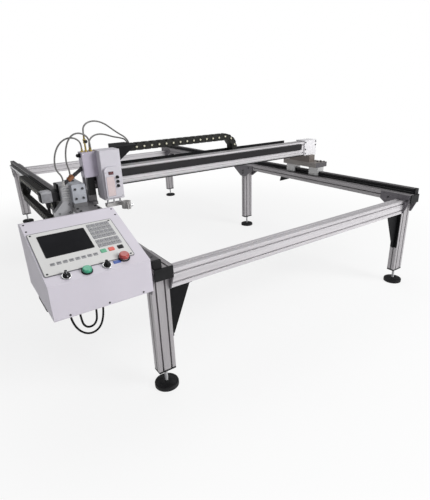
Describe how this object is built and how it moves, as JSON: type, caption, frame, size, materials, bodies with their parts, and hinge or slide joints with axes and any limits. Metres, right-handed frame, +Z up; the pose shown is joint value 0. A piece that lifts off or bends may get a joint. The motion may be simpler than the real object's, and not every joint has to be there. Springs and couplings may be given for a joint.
{
  "type": "cnc cutting machine",
  "caption": "Table-type gantry cutting machine: slotted profile frame on levelling feet, rack-driven gantry, torch carriage with lift and clamp, corner console.",
  "frame": {"origin": "on the floor under the middle of the machine's box, cables left out", "axes": "+X across the table to the right of the console corner, +Y along the guide rails away from the console, +Z up"},
  "size_m": [2.457, 3.668, 1.2258],
  "materials": {
    "profile": "satin anodised extrusion",
    "plate": "satin plate",
    "black_steel": "satin black paint",
    "black_plastic": "matte",
    "rail": "blackened rail steel",
    "steel": "ground",
    "foot": "satin black",
    "console": "powder coat",
    "panel_film": "printed film",
    "screen": "glossy",
    "keys": "domed film keys",
    "controller": "matte",
    "cable": "matte",
    "hose": "matte",
    "red": "glossy",
    "green": "glossy",
    "light_paint": "satin paint",
    "brown_paint": "satin paint",
    "block": "machined",
    "reducer": "satin paint",
    "motor": "satin paint",
    "white_paint": "powder coat",
    "valve": "powder coat",
    "brass": "machined"
  },
  "bodies": {
    "frame": {"side_beam_left": "profile", "side_beam_right": "profile", "cross_beam_near": "profile", "cross_beam_far": "profile", "legs": "profile", "leg_head_plates": "plate", "corner_gussets": "black_steel", "profile_end_caps": "black_plastic", "guide_rails": "rail", "drive_rack": "steel", "frame_fasteners": "steel", "levelling_feet": "foot", "console_shell": "console", "console_base": "console", "console_arms": "black_steel", "control_panel": "panel_film", "display_screen": "screen", "keypad": "keys", "controller_unit": "controller", "cable_glands": "black_plastic", "console_cable_a": "cable", "console_cable_b": "cable", "long_chain": "black_plastic", "long_chain_tray": "black_steel"},
    "stop_button": {"stop_button": "red"},
    "start_button": {"start_button": "green"},
    "mode_selector": {"mode_selector": "black_plastic"},
    "height_selector": {"height_selector": "black_plastic"},
    "gantry": {"gantry_beam": "profile", "torch_rail": "steel", "torch_rack": "steel", "carriage_left": "light_paint", "carriage_right": "brown_paint", "bearing_blocks": "block", "gear_reducer": "reducer", "motor_flange": "black_steel", "drive_motor": "motor", "gantry_end_plates": "white_paint", "chain_supports": "black_steel", "cross_chain": "black_plastic"},
    "drive_pinion": {"drive_pinion": "steel"},
    "torch": {"torch_carriage": "plate", "head_shell": "white_paint", "head_panel": "white_paint", "valve_box": "valve", "gas_fittings": "brass", "head_motors": "motor", "chain_arm": "black_steel", "gas_hose_a": "hose", "gas_hose_b": "hose", "gas_hose_c": "hose", "gas_hose_d": "hose"},
    "torch_pinion": {"torch_pinion": "steel"},
    "head_dial_1": {"head_dial_1": "black_plastic"},
    "head_dial_2": {"head_dial_2": "black_plastic"},
    "head_dial_3": {"head_dial_3": "black_plastic"},
    "gas_knob": {"gas_knob": "black_plastic"},
    "lift": {"lift_rods": "steel", "torch_holder": "plate"},
    "clamp_screw": {"clamp_screw": "steel"}
  },
  "joints": [
    {"name": "gantry_slide", "type": "slide", "parent": "frame", "child": "gantry", "axis": [0, 1, 0], "range_m": [-0.36, 2], "deforming": ["long_chain"]},
    {"name": "drive_pinion_turn", "type": "hinge", "parent": "gantry", "child": "drive_pinion", "pos_m": [-0.84425, -0.824, 0.648], "axis": [0, 0, 1], "range_deg": [-4244.13, 763.94]},
    {"name": "torch_slide", "type": "slide", "parent": "gantry", "child": "torch", "axis": [1, 0, 0], "range_m": [-0.01, 1.55], "deforming": ["cross_chain"]},
    {"name": "torch_pinion_turn", "type": "hinge", "parent": "torch", "child": "torch_pinion", "pos_m": [-0.6415, -0.834, 0.821], "axis": [0, 1, 0], "range_deg": [-3289.2, 21.22]},
    {"name": "torch_lift", "type": "slide", "parent": "torch", "child": "lift", "axis": [0, 0, 1], "range_m": [-0.08, 0.02]},
    {"name": "clamp_screw_turn", "type": "hinge", "parent": "lift", "child": "clamp_screw", "pos_m": [-0.5915, -1.054, 0.755], "axis": [1, 0, 0], "continuous": true},
    {"name": "stop_push", "type": "slide", "parent": "frame", "child": "stop_button", "axis": [0, 0.3559, -0.9345], "range_m": [0, 0.006], "stiffness_N_per_m": 800},
    {"name": "start_push", "type": "slide", "parent": "frame", "child": "start_button", "axis": [0, 0.3559, -0.9345], "range_m": [0, 0.004], "stiffness_N_per_m": 800},
    {"name": "mode_turn", "type": "hinge", "parent": "frame", "child": "mode_selector", "pos_m": [-1.1515, -1.8069, 0.75032], "axis": [0, -0.3559, 0.9345], "range_deg": [-45, 45]},
    {"name": "height_turn", "type": "hinge", "parent": "frame", "child": "height_selector", "pos_m": [-0.9985, -1.8069, 0.75032], "axis": [0, -0.3559, 0.9345], "range_deg": [-45, 45]},
    {"name": "head_dial_1_turn", "type": "hinge", "parent": "torch", "child": "head_dial_1", "pos_m": [-0.6195, -1, 0.918], "axis": [0, -1, 0], "range_deg": [-135, 135]},
    {"name": "head_dial_2_turn", "type": "hinge", "parent": "torch", "child": "head_dial_2", "pos_m": [-0.6195, -1, 0.893], "axis": [0, -1, 0], "range_deg": [-135, 135]},
    {"name": "head_dial_3_turn", "type": "hinge", "parent": "torch", "child": "head_dial_3", "pos_m": [-0.6195, -1, 0.868], "axis": [0, -1, 0], "range_deg": [-135, 135]},
    {"name": "gas_knob_turn", "type": "hinge", "parent": "torch", "child": "gas_knob", "pos_m": [-0.7445, -0.894, 1.12076], "axis": [0, -1, 0], "continuous": true}
  ],
  "couplings": [
    {"joint": "drive_pinion_turn", "follows": "gantry_slide", "rad_per_m": -37.037},
    {"joint": "torch_pinion_turn", "follows": "torch_slide", "rad_per_m": -37.037}
  ]
}
